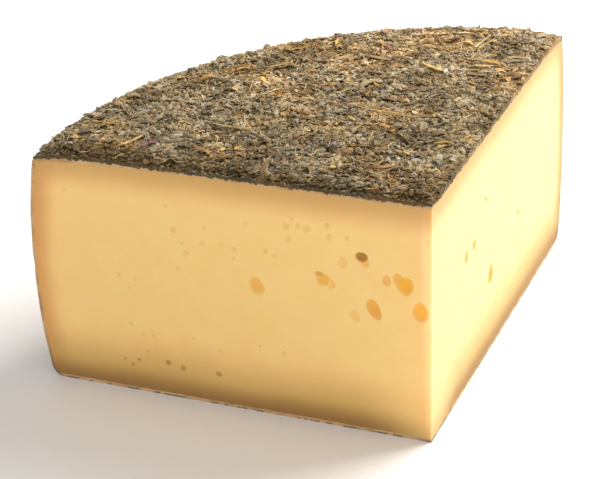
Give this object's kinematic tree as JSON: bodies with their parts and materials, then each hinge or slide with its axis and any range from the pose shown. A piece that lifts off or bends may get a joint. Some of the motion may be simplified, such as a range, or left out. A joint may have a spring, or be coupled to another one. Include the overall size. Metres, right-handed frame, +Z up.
{
  "type": "hay flower cheese wedge",
  "caption": "Quarter wedge of hard cheese with small eyes in its cut faces, a thin rind round the rim and a thick coat of dried herbs and flowers on top.",
  "frame": {"origin": "bottom centre of the wedge's box, on the surface that it stands on", "axes": "+Z up. The front cut faces -Y and the other cut faces +X, so the tip of the wedge is at +X -Y, and the rim of the wheel is at -X and +Y."},
  "size_m": [0.1518, 0.1502, 0.0938],
  "materials": {
    "paste": "smooth, slightly waxy cut cheese with a thin tan rind",
    "dried_herbs": "rough dry crushed leaves, stems and petals"
  },
  "bodies": {
    "root": {"cheese_wedge": "paste", "hay_flower_crust": "dried_herbs"}
  },
  "joints": []
}
